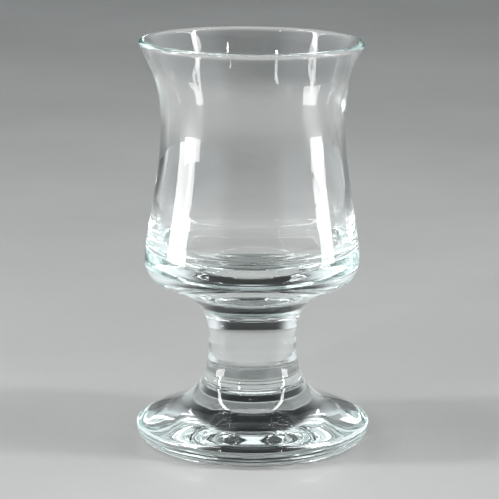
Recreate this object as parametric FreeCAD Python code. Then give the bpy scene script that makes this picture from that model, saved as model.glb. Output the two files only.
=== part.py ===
import FreeCAD, Part
import math
import os
from collections import namedtuple

# Short-stemmed shot glass, free-standing, about a vertical axis of symmetry. Millimetres, +Z up,
# the resting ring of the foot lies on Z = 0 and the axis of the glass is the Z axis.
#
# The glass is hot-joined from three gathers of solid glass, one node each: a foot, a stem and a bowl.
# Each outline is drawn in the plane of radius (X) and height (Z) and turned once round the axis.
#
# A station is a point that an outline passes through smoothly. Its slope is the direction of the
# outline there, in degrees above the outward horizontal when followed upwards: 90 is straight up,
# and more than 90 leans in towards the axis. Below and above are how far the curve keeps to that
# slope on either side, as shares of the distance to the next station.
Station = namedtuple("Station", "radius z slope below above", defaults=(0.4, 0.4))

# overall
height = 85.0

# foot: a domed disc, very slightly hollow underneath, with a soft corner where the flare rises
kick_height = 0.25
rest_inner_radius = 16.5
rest_outer_radius = 21.2
rest_outer = Station(rest_outer_radius, 0.0, slope=0.0)
foot_edge = Station(radius=24.6, z=3.4, slope=90.0, below=0.39, above=0.19)
dome_top = Station(radius=15.1, z=8.3, slope=151.0, below=0.52, above=0.3)

# seam between the foot and the stem's own gather, which sags into the foot
lower_seam = Station(radius=10.84, z=12.85, slope=120.0, below=0.3, above=0.25)
lower_seam_sag = 1.4

# stem: a short solid column, narrowest a little above its middle
stem_waist = Station(radius=9.22, z=22.5, slope=90.0, below=0.5)

# seam between the stem and the bowl, whose solid base sags into the stem
upper_seam = Station(radius=10.52, z=28.05, slope=67.0, above=0.16)
upper_seam_sag = 1.6

# bowl, outside
underside = Station(radius=15.45, z=32.25, slope=26.0, below=0.34, above=0.32)
shoulder = Station(radius=22.59, z=39.18, slope=90.0, below=0.48, above=0.2)
bowl_waist = Station(radius=19.15, z=67.3, slope=90.0, below=0.38, above=0.56)
rim_radius = 23.25
rim_bead_radius = 0.8
lip_slope = 65.0
lip_pull = 0.33

# bowl, inside: a shallow dished floor, a round corner and a wall that thins towards the rim
floor_z = 36.3
floor_dish_radius = 34.0
floor_edge_radius = 12.8
floor_edge_pull = 0.38
belly_inside = Station(radius=20.3, z=44.5, slope=90.0, below=0.42, above=0.3)
waist_inside = Station(radius=17.4, z=67.5, slope=90.0, below=0.4, above=0.33)


def at(radius, z):
    return FreeCAD.Vector(radius, 0.0, z)


def heading(slope):
    angle = math.radians(slope)
    return FreeCAD.Vector(math.cos(angle), 0.0, math.sin(angle))


def sweep(lower, upper):
    """Smooth cubic from one station up to the next, with the slope of each at its end."""
    start = at(lower.radius, lower.z)
    end = at(upper.radius, upper.z)
    span = end.sub(start).Length
    leaving = heading(lower.slope).multiply(span * lower.above)
    arriving = heading(upper.slope).multiply(span * upper.below)
    curve = Part.BezierCurve()
    curve.setPoles([start, start.add(leaving), end.sub(arriving), end])
    return curve.toShape()


def cap(pole_z, edge_radius, edge_z):
    """Outline of a spherical cap, from its pole on the axis, where it is level, out to its edge."""
    rise = edge_z - pole_z
    sphere_radius = (edge_radius**2 + rise**2) / (2.0 * abs(rise))
    half_angle = math.asin(edge_radius / sphere_radius) / 2.0
    middle_radius = sphere_radius * math.sin(half_angle)
    middle_rise = math.copysign(sphere_radius * (1.0 - math.cos(half_angle)), rise)
    middle = at(middle_radius, pole_z + middle_rise)
    return Part.Arc(at(0.0, pole_z), middle, at(edge_radius, edge_z)).toShape()


def line(start, end):
    return Part.LineSegment(start, end).toShape()


def turned(edges):
    """Solid of revolution of a closed outline round the Z axis."""
    outline = Part.Wire(Part.__sortEdges__(edges))
    axis_point = FreeCAD.Vector(0.0, 0.0, 0.0)
    axis_direction = FreeCAD.Vector(0.0, 0.0, 1.0)
    return Part.Face(outline).revolve(axis_point, axis_direction, 360.0)


lower_pole = lower_seam.z - lower_seam_sag
upper_pole = upper_seam.z - upper_seam_sag


def make_foot():
    return turned(
        [
            cap(kick_height, rest_inner_radius, 0.0),
            line(at(rest_inner_radius, 0.0), at(rest_outer_radius, 0.0)),
            sweep(rest_outer, foot_edge),
            sweep(foot_edge, dome_top),
            sweep(dome_top, lower_seam),
            cap(lower_pole, lower_seam.radius, lower_seam.z),
            line(at(0.0, kick_height), at(0.0, lower_pole)),
        ]
    )


def make_stem():
    return turned(
        [
            cap(lower_pole, lower_seam.radius, lower_seam.z),
            sweep(lower_seam, stem_waist),
            sweep(stem_waist, upper_seam),
            cap(upper_pole, upper_seam.radius, upper_seam.z),
            line(at(0.0, lower_pole), at(0.0, upper_pole)),
        ]
    )


def make_bowl():
    # the rim is a half-round bead, with the outer wall running into one side and the inner into the other
    bead_centre = at(rim_radius - rim_bead_radius, height - rim_bead_radius)
    across = heading(lip_slope - 90.0).multiply(rim_bead_radius)
    outside = bead_centre.add(across)
    inside = bead_centre.sub(across)
    bead_top = bead_centre.add(heading(lip_slope).multiply(rim_bead_radius))
    lip_outside = Station(outside.x, outside.z, lip_slope, below=lip_pull)
    lip_inside = Station(inside.x, inside.z, lip_slope, below=lip_pull)

    dish_angle = math.asin(floor_edge_radius / floor_dish_radius)
    floor_edge_z = floor_z + floor_dish_radius * (1.0 - math.cos(dish_angle))
    dish_slope = math.degrees(dish_angle)
    floor_edge = Station(floor_edge_radius, floor_edge_z, dish_slope, above=floor_edge_pull)
    return turned(
        [
            cap(upper_pole, upper_seam.radius, upper_seam.z),
            sweep(upper_seam, underside),
            sweep(underside, shoulder),
            sweep(shoulder, bowl_waist),
            sweep(bowl_waist, lip_outside),
            Part.Arc(outside, bead_top, inside).toShape(),
            sweep(waist_inside, lip_inside),
            sweep(belly_inside, waist_inside),
            sweep(floor_edge, belly_inside),
            cap(floor_z, floor_edge_radius, floor_edge_z),
            line(at(0.0, upper_pole), at(0.0, floor_z)),
        ]
    )


os.makedirs("parts", exist_ok=True)
make_foot().exportStep("parts/foot.step")
make_stem().exportStep("parts/stem.step")
make_bowl().exportStep("parts/bowl.step")
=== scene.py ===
import math
from collections import namedtuple

import bpy
import numpy as np
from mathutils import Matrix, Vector


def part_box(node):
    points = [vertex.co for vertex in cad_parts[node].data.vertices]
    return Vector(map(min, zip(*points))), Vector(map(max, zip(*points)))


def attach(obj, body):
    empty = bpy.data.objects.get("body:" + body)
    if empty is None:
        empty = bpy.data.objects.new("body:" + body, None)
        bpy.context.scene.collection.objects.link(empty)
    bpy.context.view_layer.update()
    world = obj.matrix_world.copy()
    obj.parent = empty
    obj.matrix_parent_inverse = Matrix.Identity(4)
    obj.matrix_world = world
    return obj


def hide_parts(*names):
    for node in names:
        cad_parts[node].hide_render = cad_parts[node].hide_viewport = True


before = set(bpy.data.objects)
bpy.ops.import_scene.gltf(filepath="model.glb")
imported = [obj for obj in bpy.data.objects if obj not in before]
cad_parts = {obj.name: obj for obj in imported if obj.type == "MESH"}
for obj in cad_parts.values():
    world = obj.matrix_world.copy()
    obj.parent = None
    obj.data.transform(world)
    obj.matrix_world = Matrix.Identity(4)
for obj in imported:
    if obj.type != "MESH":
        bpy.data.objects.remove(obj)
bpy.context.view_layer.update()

# The shot glass is three gathers of hot-joined glass: bowl, stem and foot. Each piece here is a closed
# mesh turned on the lathe from the same outline as its CAD node, then given the small faults that a
# hand-finished glass has. The glass's lengths are in millimetres until its mesh is made, when MM turns them
# to metres. The studio's lengths are in metres. Angles round the axis are in radians, from +X towards +Y.
MM = 0.001

# A station is a point that an outline passes through smoothly. Slope is the outline's direction there, in
# degrees above the outward horizontal when followed upwards. Below and above are how far the curve keeps
# to that slope on either side, as shares of the distance to the next station.
Station = namedtuple("Station", "radius z slope below above", defaults=(0.4, 0.4))

# The boxes of the three CAD nodes give the sizes and places of their ends.
FOOT_LOW, FOOT_HIGH = (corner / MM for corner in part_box("foot"))
STEM_LOW, STEM_HIGH = (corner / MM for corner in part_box("stem"))
BOWL_LOW, BOWL_HIGH = (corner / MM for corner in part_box("bowl"))

HEIGHT = BOWL_HIGH.z

KICK_HEIGHT = 0.25
REST_INNER_RADIUS = 16.5
REST_OUTER = Station(21.2, FOOT_LOW.z, slope=0.0)
FOOT_EDGE = Station(FOOT_HIGH.x, 3.4, slope=90.0, below=0.39, above=0.19)
DOME_TOP = Station(15.1, 8.3, slope=151.0, below=0.52, above=0.3)
LOWER_SEAM = Station(STEM_HIGH.x, FOOT_HIGH.z, slope=120.0, below=0.3, above=0.25)
LOWER_SEAM_SAG = FOOT_HIGH.z - STEM_LOW.z
STEM_WAIST = Station(9.22, 22.5, slope=90.0, below=0.5)
UPPER_SEAM = Station(10.52, STEM_HIGH.z, slope=67.0, above=0.16)
UPPER_SEAM_SAG = STEM_HIGH.z - BOWL_LOW.z
UNDERSIDE = Station(15.45, 32.25, slope=26.0, below=0.34, above=0.32)
SHOULDER = Station(22.59, 39.18, slope=90.0, below=0.48, above=0.2)
BOWL_WAIST = Station(19.15, 67.3, slope=90.0, below=0.38, above=0.56)
RIM_RADIUS = BOWL_HIGH.x
RIM_BEAD_RADIUS = 0.8
LIP_SLOPE = 65.0
LIP_PULL = 0.33
FLOOR_Z = 36.3
FLOOR_DISH_RADIUS = 34.0
FLOOR_EDGE_RADIUS = 12.8
FLOOR_EDGE_PULL = 0.38
BELLY_INSIDE = Station(20.3, 44.5, slope=90.0, below=0.42, above=0.3)
WAIST_INSIDE = Station(17.4, 67.5, slope=90.0, below=0.4, above=0.33)

# How many faces go round the axis, and about how far apart an outline's points are.
AROUND = 240
STEP = 0.5
EDGE_STEP = 0.25
FINE_STEP = 0.16
RIM_POINTS = 17
# The two faces of a seam stay this far apart.
SEAM_GAP = 0.01
# An outline point with a smaller radius than this is a pole of the mesh.
ON_AXIS = 1e-6

# How far the axis of the finished glass wanders sideways, as (height, shift in X).
WANDER = ((0.0, 0.05), (30.0, -0.02), (40.0, -0.07), (62.0, 0.10), (72.0, 0.08), (85.0, -0.20))
# How much the rim rises towards -X, as a slope, and how far off round the rim and the foot are, as shares.
RIM_TILT = 0.0105
RIM_OVAL = 0.0035
FOOT_OVAL = 0.004
# How far the inner wall is off the outer one, towards +X, at the waist.
INNER_SHIFT = 0.2

# Rings that tools left: below the rim in front, on the inner floor, and under the foot.
TOOL_RING_DEPTH = 0.004
TOOL_RING_PITCH = 0.95
TOOL_RING_MIDDLE = 4.85
TOOL_RING_HALF_WIDTH = 0.25
FLOOR_RING_HEIGHT = 0.008
FLOOR_RING_PITCH = 2.1
PONTIL_RING_HEIGHT = 0.03
PONTIL_RING_RADIUS = 6.2
PONTIL_RING_HALF_WIDTH = 0.9
PONTIL_DIMPLE_HEIGHT = 0.02
PONTIL_DIMPLE_RADIUS = 2.5

# Cords in the wall, as (angle round the axis, phase of its wavering). Their half width is in radians.
CORDS = ((5.76, 0.0), (5.68, 1.9), (5.59, 4.1))
CORD_WIDTH = 0.04
CORD_DEPTH = 0.025

# Ridges that the joining left round the stem's two ends, as (height, how far it stands out, half width).
RIDGES = ((12.8, 0.035, 0.28), (14.3, 0.035, 0.28), (27.8, 0.06, 0.35), (28.9, 0.06, 0.35))

# Waves of a wall, as (height, how many go round, how they turn with the height, phase).
OUTSIDE_WAVES = ((0.018, 3.0, 0.05, 0.0), (0.010, 5.0, -0.11, 1.3))
INSIDE_WAVES = ((0.030, 4.0, 0.07, 0.6), (0.018, 9.0, -0.05, 0.0), (0.010, 17.0, 0.15, 2.0))

# Where each fault fades in and out again, as heights, or as radii for the two that lie flat.
TOOL_RING_SPAN = (74.0, 77.0, 82.0, 83.5)
OUTSIDE_WAVE_SPAN = (29.0, 36.0, 82.0, 84.0)
INSIDE_WAVE_SPAN = (38.0, 46.0, 80.0, 84.0)
CORD_SPAN = (60.0, 64.0, 76.0, 80.0)
INNER_SHIFT_SPAN = (50.0, 64.0, 74.0, 83.0)
FLOOR_RING_RADII = (2.0, 4.0, 11.0, 12.5)
PONTIL_FADE_RADII = (12.0, 15.0)

# Seeds are tiny bubbles of air. In a solid stretch they lie at a radius and a height, each given as
# (least, spread), and in the wall only the height is given.
SEEDS_IN_FOOT = 5
SEEDS_IN_STEM = 2
SEEDS_IN_WALL = 8
SEEDS_IN_BASE = 4
SEED_SMALLEST = 0.09
SEED_LARGEST = 0.19
SEEDS_AT = {
    "foot": ((4.0, 15.0), (2.2, 1.8)),
    "stem": ((0.0, 7.5), (14.5, 9.0)),
    "base": ((0.0, 12.0), (31.5, 3.5)),
}
WALL_SEEDS_AT = (46.0, 34.0)
SEED_ROWS = 6
SEED_COLUMNS = 10
# The number that the random draws start from.
SHUFFLE = 7

GLASS_IOR = 1.5
AIR_IOR = 1.0
CLEAN_GLASS = (1.0, 1.0, 1.0)
SMUDGED_GLASS = (0.975, 0.982, 0.98)
SMUDGE_ROUGHNESS = 0.05
# The tint's density is per metre of glass.
GLASS_TINT = (0.44, 0.79, 0.74, 1.0)
TINT_DENSITY = 3.5
FLOOR_SHADE = (0.56, 0.56, 0.55)
FLOOR_LIGHT = (0.64, 0.64, 0.63)

# Half the floor's width and depth. It ends just past the side lights, and the room's pale sides lie beyond.
FLOOR_HALF_WIDTH = 0.6
FLOOR_HALF_DEPTH = 5.0
# It lies this far under the glass, so that the two never flicker.
FLOOR_CLEARANCE = 0.00002

# A soft light stands at its place, aims at its target and shines from a rectangle. Low wide panels light the
# bowl and foot, tall thin strips draw the long highlights, and small lamps draw the ones below the rim.
Softbox = namedtuple("Softbox", "name place target width height radiance")
SOFTBOXES = (
    Softbox("left_panel", (-0.5, -0.033, 0.045), (0.0, -0.033, 0.045), 0.24, 0.09, 10.0),
    Softbox("right_panel", (0.5, -0.036, 0.045), (0.0, -0.036, 0.045), 0.16, 0.09, 10.0),
    Softbox("left_strip", (-0.5, -0.053, 0.54), (0.0, -0.053, 0.3), 0.06, 0.95, 16.0),
    Softbox("right_strip", (0.5, -0.12, 0.54), (0.0, -0.12, 0.3), 0.06, 0.95, 16.0),
    Softbox("left_lamp", (-0.25, -0.385, 0.29), (0.0, 0.0, 0.07), 0.025, 0.12, 40.0),
    Softbox("right_lamp", (0.262, -0.436, 0.42), (0.0, 0.0, 0.07), 0.02, 0.05, 40.0),
)

# How bright the room is, and the parts of a direction where it fades from one level to the next: sideways
# from dark to wall, upwards from wall to dark, and upwards again to the ceiling.
ROOM_COLOUR = (0.93, 0.98, 1.0, 1.0)
DARK_LEVEL = 0.03
WALL_LEVEL = 1.0
CEILING_LEVEL = 1.5
WALL_SIDES = (0.32, 0.78)
WALL_TOP = (0.88, 0.60)
CEILING_EDGE = (0.965, 0.985)

# The camera looks along +Y and down. Its tilt is in degrees up from straight down, and its lens and sensor
# are in millimetres.
CAMERA_PLACE = (-0.000615, -0.480, 0.14652)
CAMERA_TILT = 77.572
SENSOR_WIDTH = 36.0
LENS = 168.88
BOUNCES = 128
VIEW = "Standard"


# ---------------------------------------------------------------- outlines


def heading(slope):
    angle = math.radians(slope)
    return np.array([math.cos(angle), math.sin(angle)])


def sweep(lower, upper, step=STEP):
    """Points of the smooth cubic from one station up to the next, both ends included."""
    start = np.array([lower.radius, lower.z])
    end = np.array([upper.radius, upper.z])
    span = np.linalg.norm(end - start)
    first = start + heading(lower.slope) * span * lower.above
    last = end - heading(upper.slope) * span * upper.below
    t = np.linspace(0.0, 1.0, max(6, round(span / step)) + 1)[:, None]
    return (1 - t) ** 3 * start + 3 * (1 - t) ** 2 * t * first + 3 * (1 - t) * t**2 * last + t**3 * end


def cap(pole_z, edge_radius, edge_z, step=STEP):
    """Points of a spherical cap's outline, from its pole on the axis out to its edge."""
    rise = edge_z - pole_z
    sphere_radius = (edge_radius**2 + rise**2) / (2.0 * abs(rise))
    angles = np.linspace(0.0, math.asin(edge_radius / sphere_radius), round(edge_radius / step) + 1)
    radii = sphere_radius * np.sin(angles)
    heights = pole_z + math.copysign(1.0, rise) * sphere_radius * (1.0 - np.cos(angles))
    return np.column_stack([radii, heights])


def straight(start, end, step=STEP):
    count = max(2, round(math.dist(start, end) / step)) + 1
    return np.linspace(start, end, count)


def joined(*stretches):
    """One outline from stretches that each start where the last one ended."""
    return np.vstack([stretches[0], *[s[1:] for s in stretches[1:]]])


# ---------------------------------------------------------------- hand-made form


def eased(value, low, high):
    """0 below low, 1 above high, and smooth between."""
    t = np.clip((value - low) / (high - low), 0.0, 1.0)
    return t * t * (3.0 - 2.0 * t)


def window(value, low, full_from, full_to, high):
    """0 outside low and high, 1 from full_from to full_to, and smooth between."""
    return eased(value, low, full_from) * (1.0 - eased(value, full_to, high))


def waves(table, angle, z):
    """Height of the waves in a table, at an angle and a height."""
    return sum(high * np.sin(around * angle + turn * z + phase) for high, around, turn, phase in table)


def wander(z):
    """Sideways shift of the glass's axis at a height."""
    shift = WANDER[0][1]
    for (low, before), (high, after) in zip(WANDER, WANDER[1:]):
        shift = shift + (after - before) * eased(z, low, high)
    return shift


def hand_made(radius, angle, z):
    """Where the lathe's point ends up on a glass that was finished by hand: slightly out of round, off its
    axis by a hair and with the rim a little out of level."""
    near_rim = eased(z, 42.0, HEIGHT)
    near_foot = 1.0 - eased(z, 3.0, 12.0)
    oval = 1.0 + near_rim * RIM_OVAL * np.cos(2.0 * angle + 0.7)
    oval = oval + near_foot * FOOT_OVAL * np.cos(2.0 * angle - 0.4)
    x = radius * oval * np.cos(angle) + wander(z)
    y = radius * oval * np.sin(angle)
    tilt = eased(z, 55.0, HEIGHT)
    return x, y, z - RIM_TILT * tilt * x


def tool_rings(angle, z):
    """Depth of the fine rings that the finishing tool left below the rim, in front on the outside."""
    in_front = np.exp(-(((angle - TOOL_RING_MIDDLE) / TOOL_RING_HALF_WIDTH) ** 2))
    wave = np.sin(2.0 * math.pi * z / TOOL_RING_PITCH + 0.5 * np.sin(angle))
    return TOOL_RING_DEPTH * window(z, *TOOL_RING_SPAN) * in_front * wave


def ridges(z):
    """How far the joining ridges stand out at a height."""
    return sum(out * math.exp(-(((z - place) / width) ** 2)) for place, out, width in RIDGES)


def outside_waves(angle, z):
    """Faint hollows and swellings of the outer wall."""
    return waves(OUTSIDE_WAVES, angle, z) * window(z, *OUTSIDE_WAVE_SPAN)


def cords(angle, z):
    """A few wavering vertical cords in the front right of the wall, below the rim."""
    depth = np.zeros_like(angle)
    for place, phase in CORDS:
        off = (angle - place + 0.02 * math.sin(1.1 * z + phase)) / CORD_WIDTH
        depth += CORD_DEPTH * np.exp(-off * off)
    return depth * window(z, *CORD_SPAN)


def inside_waves(angle, z):
    """Streaky unevenness of the inner wall, which bends what is seen through it."""
    return (waves(INSIDE_WAVES, angle, z) + cords(angle, z)) * window(z, *INSIDE_WAVE_SPAN)


def floor_rings(radius):
    """Height of the faint rings that the plunger left on the inner floor."""
    wave = math.sin(2.0 * math.pi * radius / FLOOR_RING_PITCH)
    return FLOOR_RING_HEIGHT * window(radius, *FLOOR_RING_RADII) * wave


def kick_rings(radius):
    """Height of the shallow ring and dimple that the pontil left under the foot."""
    ring = PONTIL_RING_HEIGHT * math.exp(-(((radius - PONTIL_RING_RADIUS) / PONTIL_RING_HALF_WIDTH) ** 2))
    dimple = PONTIL_DIMPLE_HEIGHT * math.exp(-((radius / PONTIL_DIMPLE_RADIUS) ** 2))
    return ring + dimple


def worked(kind, radius, z, angles):
    """One ring of the lathe, as points, with what the maker's tools did to its kind of surface."""
    outwards, aside, upwards = 0.0, 0.0, 0.0
    if kind == "outside":
        outwards = outside_waves(angles, z) + tool_rings(angles, z) + ridges(z)
    if kind == "seam":
        outwards = ridges(z) * eased(radius, 9.5, 10.5)
    if kind == "inside":
        outwards = inside_waves(angles, z)
        aside = INNER_SHIFT * window(z, *INNER_SHIFT_SPAN)
        upwards = floor_rings(radius)
    if kind == "under":
        upwards = kick_rings(radius) * (1.0 - eased(radius, *PONTIL_FADE_RADII))
    x, y, high = hand_made(radius + outwards, angles, z + upwards)
    return np.column_stack([x + aside, y, high + np.zeros_like(x)])


# ---------------------------------------------------------------- meshes


def lathe(stretches):
    """Vertices, faces and seam flags of a closed shell turned from outline stretches, each (points, kind).
    The outline runs from the axis round to the axis with the glass on its left, and kind says what the
    surface is: seam, outside, inside, under or plain."""
    profile, kinds = [tuple(stretches[0][0][0])], []
    for points, kind in stretches:
        profile.extend(tuple(point) for point in points[1:])
        kinds.extend([kind] * (len(points) - 1))
    angles = np.linspace(0.0, 2.0 * math.pi, AROUND, endpoint=False)
    vertices, starts = [], []
    for (radius, z), kind in zip(profile, [kinds[0], *kinds]):
        starts.append(len(vertices))
        if radius < ON_AXIS:
            vertices.append(tuple(worked(kind, 0.0, z, angles[:1])[0]))
        else:
            vertices.extend(map(tuple, worked(kind, radius, z, angles)))
    faces, seams = [], []
    for k, kind in enumerate(kinds):
        low, high = starts[k], starts[k + 1]
        for i in range(AROUND):
            j = (i + 1) % AROUND
            if profile[k][0] < ON_AXIS:
                faces.append((low, high + j, high + i))
            elif profile[k + 1][0] < ON_AXIS:
                faces.append((low + i, low + j, high))
            else:
                faces.append((low + i, low + j, high + j, high + i))
            seams.append(1.0 if kind == "seam" else 0.0)
    return vertices, faces, seams


def add_seed(shell, centre, size, stretch):
    """Adds one seed, a tiny bubble of air drawn a little upwards, to a shell of glass."""
    vertices, faces, seams = shell
    first = len(vertices)
    for row in range(1, SEED_ROWS):
        polar = math.pi * row / SEED_ROWS
        for column in range(SEED_COLUMNS):
            turn = 2.0 * math.pi * column / SEED_COLUMNS
            x = centre[0] + size * math.sin(polar) * math.cos(turn)
            y = centre[1] + size * math.sin(polar) * math.sin(turn)
            vertices.append((x, y, centre[2] + size * stretch * math.cos(polar)))
    top = len(vertices)
    vertices.append((centre[0], centre[1], centre[2] + size * stretch))
    vertices.append((centre[0], centre[1], centre[2] - size * stretch))
    for column in range(SEED_COLUMNS):
        beside = (column + 1) % SEED_COLUMNS
        faces.append((top, first + beside, first + column))
        last = first + (SEED_ROWS - 2) * SEED_COLUMNS
        faces.append((top + 1, last + column, last + beside))
        for row in range(SEED_ROWS - 2):
            upper = first + row * SEED_COLUMNS
            lower = upper + SEED_COLUMNS
            faces.append((upper + column, upper + beside, lower + beside, lower + column))
    seams.extend([0.0] * (len(faces) - len(seams)))


def add_seeds(shell, count, place, chance):
    """Scatters seeds in a shell. place gives a radius and a height inside the glass from two random
    shares."""
    for _ in range(count):
        radius, z = place(chance.random(), chance.random())
        turn = chance.uniform(0.0, 2.0 * math.pi)
        x, y, z = hand_made(radius, turn, z)
        size = chance.uniform(SEED_SMALLEST, SEED_LARGEST)
        add_seed(shell, (x, y, z), size, chance.uniform(1.0, 1.5))


def solid_stretch(name):
    """The place function of a solid stretch of glass, for add_seeds."""
    (radius, radius_spread), (z, z_spread) = SEEDS_AT[name]
    return lambda a, b: (radius + radius_spread * a, z + z_spread * b)


def piece_from(name, shell):
    vertices, faces, seams = shell
    mesh = bpy.data.meshes.new(name)
    mesh.from_pydata((np.array(vertices) * MM).tolist(), [], faces)
    mesh.attributes.new("seam", "FLOAT", "FACE").data.foreach_set("value", seams)
    mesh.polygons.foreach_set("use_smooth", [True] * len(faces))
    piece = bpy.data.objects.new(name, mesh)
    bpy.context.collection.objects.link(piece)
    return piece


def lower_seam_cap():
    return cap(LOWER_SEAM.z - LOWER_SEAM_SAG, LOWER_SEAM.radius, LOWER_SEAM.z)


def upper_seam_cap():
    return cap(UPPER_SEAM.z - UPPER_SEAM_SAG, UPPER_SEAM.radius, UPPER_SEAM.z)


def make_foot(chance):
    under = cap(KICK_HEIGHT, REST_INNER_RADIUS, REST_OUTER.z)
    ring = straight((REST_INNER_RADIUS, REST_OUTER.z), (REST_OUTER.radius, REST_OUTER.z))
    over = joined(
        sweep(REST_OUTER, FOOT_EDGE, EDGE_STEP),
        sweep(FOOT_EDGE, DOME_TOP),
        sweep(DOME_TOP, LOWER_SEAM, FINE_STEP),
    )
    seam = lower_seam_cap()[::-1] - (0.0, SEAM_GAP)
    over[-1] = seam[0]
    shell = lathe([(under, "under"), (ring, "plain"), (over, "outside"), (seam, "seam")])
    add_seeds(shell, SEEDS_IN_FOOT, solid_stretch("foot"), chance)
    return piece_from("foot_glass", shell)


def make_stem(chance):
    side = joined(sweep(LOWER_SEAM, STEM_WAIST, FINE_STEP), sweep(STEM_WAIST, UPPER_SEAM, FINE_STEP))
    top = upper_seam_cap()[::-1] - (0.0, SEAM_GAP)
    side[-1] = top[0]
    shell = lathe([(lower_seam_cap(), "seam"), (side, "outside"), (top, "seam")])
    add_seeds(shell, SEEDS_IN_STEM, solid_stretch("stem"), chance)
    return piece_from("stem_glass", shell)


def lip_side(sign):
    """Station where the outer or inner wall runs into the bead of the rim."""
    centre = np.array([RIM_RADIUS - RIM_BEAD_RADIUS, HEIGHT - RIM_BEAD_RADIUS])
    radius, z = centre + sign * RIM_BEAD_RADIUS * heading(LIP_SLOPE - 90.0)
    return Station(radius, z, LIP_SLOPE, below=LIP_PULL)


def bowl_outside():
    return joined(
        sweep(UPPER_SEAM, UNDERSIDE, FINE_STEP),
        sweep(UNDERSIDE, SHOULDER),
        sweep(SHOULDER, BOWL_WAIST),
        sweep(BOWL_WAIST, lip_side(1.0), FINE_STEP),
    )


def bowl_rim():
    turns = np.radians(np.linspace(LIP_SLOPE - 90.0, LIP_SLOPE + 90.0, RIM_POINTS))
    round_it = np.column_stack([np.cos(turns), np.sin(turns)])
    return (RIM_RADIUS - RIM_BEAD_RADIUS, HEIGHT - RIM_BEAD_RADIUS) + RIM_BEAD_RADIUS * round_it


def bowl_inside():
    dish_angle = math.asin(FLOOR_EDGE_RADIUS / FLOOR_DISH_RADIUS)
    edge_z = FLOOR_Z + FLOOR_DISH_RADIUS * (1.0 - math.cos(dish_angle))
    edge = Station(FLOOR_EDGE_RADIUS, edge_z, math.degrees(dish_angle), above=FLOOR_EDGE_PULL)
    return joined(
        cap(FLOOR_Z, FLOOR_EDGE_RADIUS, edge_z),
        sweep(edge, BELLY_INSIDE),
        sweep(BELLY_INSIDE, WAIST_INSIDE),
        sweep(WAIST_INSIDE, lip_side(-1.0)),
    )


def make_bowl(chance):
    outside, inside = bowl_outside(), bowl_inside()
    shell = lathe(
        [(upper_seam_cap(), "seam"), (outside, "outside"), (bowl_rim(), "plain"), (inside[::-1], "inside")]
    )

    def in_wall(a, b):
        z = WALL_SEEDS_AT[0] + WALL_SEEDS_AT[1] * b
        outer = np.interp(z, outside[:, 1], outside[:, 0])
        inner = np.interp(z, inside[:, 1], inside[:, 0])
        return (outer + inner) / 2.0, z

    add_seeds(shell, SEEDS_IN_WALL, in_wall, chance)
    add_seeds(shell, SEEDS_IN_BASE, solid_stretch("base"), chance)
    return piece_from("bowl_glass", shell)


# ---------------------------------------------------------------- materials


def noise(tree, coordinate, scale, detail, roughness=0.5):
    texture = tree.nodes.new("ShaderNodeTexNoise")
    texture.inputs["Scale"].default_value = scale
    texture.inputs["Detail"].default_value = detail
    texture.inputs["Roughness"].default_value = roughness
    tree.links.new(coordinate, texture.inputs["Vector"])
    return texture.outputs["Fac"]


def spread(tree, value, low, high, to_low, to_high):
    """Smoothly maps the range from low to high onto another, held at its ends."""
    node = tree.nodes.new("ShaderNodeMapRange")
    node.interpolation_type = "SMOOTHSTEP"
    node.inputs["From Min"].default_value = low
    node.inputs["From Max"].default_value = high
    node.inputs["To Min"].default_value = to_low
    node.inputs["To Max"].default_value = to_high
    tree.links.new(value, node.inputs["Value"])
    return node.outputs[0]


def shade_between(tree, value, first, second):
    node = tree.nodes.new("ShaderNodeMix")
    node.data_type = "RGBA"
    node.inputs["A"].default_value = (*first, 1.0)
    node.inputs["B"].default_value = (*second, 1.0)
    tree.links.new(value, node.inputs["Factor"])
    return node.outputs["Result"]


def bumped(tree, height, strength, depth, under=None):
    """Bump of a height that is depth metres deep, on top of another bump if one is given."""
    node = tree.nodes.new("ShaderNodeBump")
    node.inputs["Strength"].default_value = strength
    node.inputs["Distance"].default_value = depth
    tree.links.new(height, node.inputs["Height"])
    if under is not None:
        tree.links.new(under, node.inputs["Normal"])
    return node.outputs["Normal"]


def blank_material(name):
    material = bpy.data.materials.new(name)
    material.use_nodes = True
    tree = material.node_tree
    place = tree.nodes.new("ShaderNodeTexCoord").outputs["Object"]
    return material, tree, tree.nodes["Principled BSDF"], place


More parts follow.
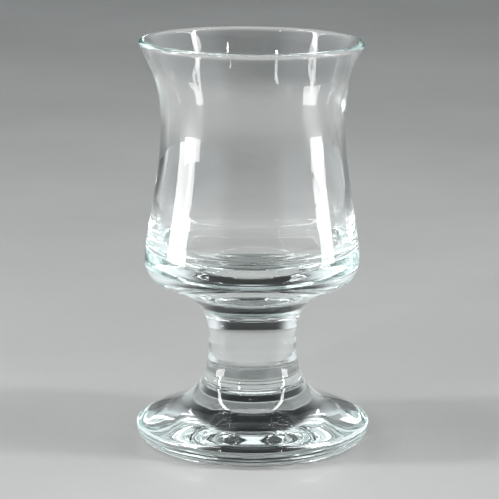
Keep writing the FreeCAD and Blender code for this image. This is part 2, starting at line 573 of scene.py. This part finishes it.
def glass_material():
    """Clear, faintly green glass: almost smooth, with wiped smudges that dull it here and there, and the
    slight orange peel of a fire polish."""
    material, tree, shader, place = blank_material("clear_glass")
    shader.inputs["Transmission Weight"].default_value = 1.0
    shader.inputs["IOR"].default_value = GLASS_IOR
    smudge = noise(tree, place, scale=85.0, detail=5.0, roughness=0.65)
    smudged = spread(tree, smudge, 0.5, 0.8, 0.0, 1.0)
    shade = shade_between(tree, smudged, CLEAN_GLASS, SMUDGED_GLASS)
    tree.links.new(shade, shader.inputs["Base Color"])
    dulled = spread(tree, smudge, 0.52, 0.78, 0.0, SMUDGE_ROUGHNESS)
    tree.links.new(dulled, shader.inputs["Roughness"])
    peel = bumped(tree, noise(tree, place, scale=260.0, detail=2.0), strength=0.10, depth=0.00005)
    lint_height = noise(tree, place, scale=2400.0, detail=2.0)
    lint = bumped(tree, lint_height, strength=0.04, depth=0.00001, under=peel)
    tree.links.new(lint, shader.inputs["Normal"])

    # the two faces of a seam touch on the real glass, so they don't bend light
    seam = tree.nodes.new("ShaderNodeAttribute")
    seam.attribute_name = "seam"
    bend = tree.nodes.new("ShaderNodeMapRange")
    bend.inputs["To Min"].default_value = GLASS_IOR
    bend.inputs["To Max"].default_value = AIR_IOR
    tree.links.new(seam.outputs["Fac"], bend.inputs["Value"])
    tree.links.new(bend.outputs[0], shader.inputs["IOR"])

    tint = tree.nodes.new("ShaderNodeVolumeAbsorption")
    tint.inputs["Color"].default_value = GLASS_TINT
    tint.inputs["Density"].default_value = TINT_DENSITY
    tree.links.new(tint.outputs[0], tree.nodes["Material Output"].inputs["Volume"])
    return material


def floor_material():
    """Pale satin studio floor, faintly mottled."""
    material, tree, shader, place = blank_material("studio_floor")
    mottle = noise(tree, place, scale=5.0, detail=6.0, roughness=0.6)
    shade = shade_between(tree, spread(tree, mottle, 0.3, 0.7, 0.0, 1.0), FLOOR_SHADE, FLOOR_LIGHT)
    tree.links.new(shade, shader.inputs["Base Color"])
    grain = noise(tree, place, scale=900.0, detail=3.0)
    tree.links.new(spread(tree, grain, 0.3, 0.7, 0.38, 0.48), shader.inputs["Roughness"])
    tree.links.new(bumped(tree, grain, strength=0.15, depth=0.0001), shader.inputs["Normal"])
    return material


# ---------------------------------------------------------------- studio


def make_floor():
    x, y = FLOOR_HALF_WIDTH, FLOOR_HALF_DEPTH
    corners = [(-x, -y, 0.0), (x, -y, 0.0), (x, y, 0.0), (-x, y, 0.0)]
    mesh = bpy.data.meshes.new("studio_floor")
    mesh.from_pydata(corners, [], [(0, 1, 2, 3)])
    mesh.materials.append(floor_material())
    floor = bpy.data.objects.new("studio_floor", mesh)
    floor.location.z = -FLOOR_CLEARANCE
    bpy.context.collection.objects.link(floor)


def make_light(box):
    light = bpy.data.lights.new(box.name, "AREA")
    light.shape = "RECTANGLE"
    light.size = box.width
    light.size_y = box.height
    light.energy = box.radiance * math.pi * box.width * box.height
    lamp = bpy.data.objects.new(box.name, light)
    lamp.location = box.place
    lamp.rotation_mode = "QUATERNION"
    lamp.rotation_quaternion = (Vector(box.target) - Vector(box.place)).to_track_quat("-Z", "Y")
    # a side view shows the light behind the glass as well as through it
    lamp.visible_camera = True
    bpy.context.collection.objects.link(lamp)


def world_mask(tree, value, fade):
    """0 on one side of a fade and 1 on the other, which is the fade's second end."""
    return spread(tree, value, *fade, 0.0, 1.0)


def times(tree, first, second):
    node = tree.nodes.new("ShaderNodeMath")
    node.operation = "MULTIPLY"
    tree.links.new(first, node.inputs[0])
    tree.links.new(second, node.inputs[1])
    return node.outputs[0]


def make_world():
    """A dim room with pale walls to the left and right and a pale patch of ceiling straight above."""
    world = bpy.data.worlds.new("studio")
    bpy.context.scene.world = world
    world.use_nodes = True
    tree = world.node_tree
    background = tree.nodes["Background"]
    background.inputs["Color"].default_value = ROOM_COLOUR
    direction = tree.nodes.new("ShaderNodeSeparateXYZ")
    tree.links.new(tree.nodes.new("ShaderNodeTexCoord").outputs["Generated"], direction.inputs[0])
    aside = tree.nodes.new("ShaderNodeMath")
    aside.operation = "ABSOLUTE"
    tree.links.new(direction.outputs["X"], aside.inputs[0])
    walls = times(
        tree,
        world_mask(tree, aside.outputs[0], WALL_SIDES),
        world_mask(tree, direction.outputs["Z"], WALL_TOP),
    )
    ceiling = world_mask(tree, direction.outputs["Z"], CEILING_EDGE)
    level = tree.nodes.new("ShaderNodeMath")
    level.operation = "MULTIPLY_ADD"
    tree.links.new(ceiling, level.inputs[0])
    level.inputs[1].default_value = CEILING_LEVEL
    tree.links.new(spread(tree, walls, 0.0, 1.0, DARK_LEVEL, WALL_LEVEL), level.inputs[2])
    tree.links.new(level.outputs[0], background.inputs["Strength"])


def make_camera():
    camera = bpy.data.cameras.new("camera")
    camera.sensor_width = SENSOR_WIDTH
    camera.lens = LENS
    eye = bpy.data.objects.new("camera", camera)
    eye.location = CAMERA_PLACE
    eye.rotation_euler = (math.radians(CAMERA_TILT), 0.0, 0.0)
    bpy.context.collection.objects.link(eye)
    bpy.context.scene.camera = eye


# ---------------------------------------------------------------- the glass

make_camera()
make_world()
for box in SOFTBOXES:
    make_light(box)
make_floor()

glass = glass_material()
chance = np.random.default_rng(SHUFFLE)
for node, make in (("foot", make_foot), ("stem", make_stem), ("bowl", make_bowl)):
    piece = make(chance)
    piece.data.materials.append(glass)
    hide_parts(node)
    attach(piece, "root")

# light is reflected many times inside the thick base before it leaves
scene = bpy.context.scene
scene.cycles.max_bounces = BOUNCES
scene.cycles.transmission_bounces = BOUNCES
scene.cycles.glossy_bounces = BOUNCES
scene.view_settings.view_transform = VIEW
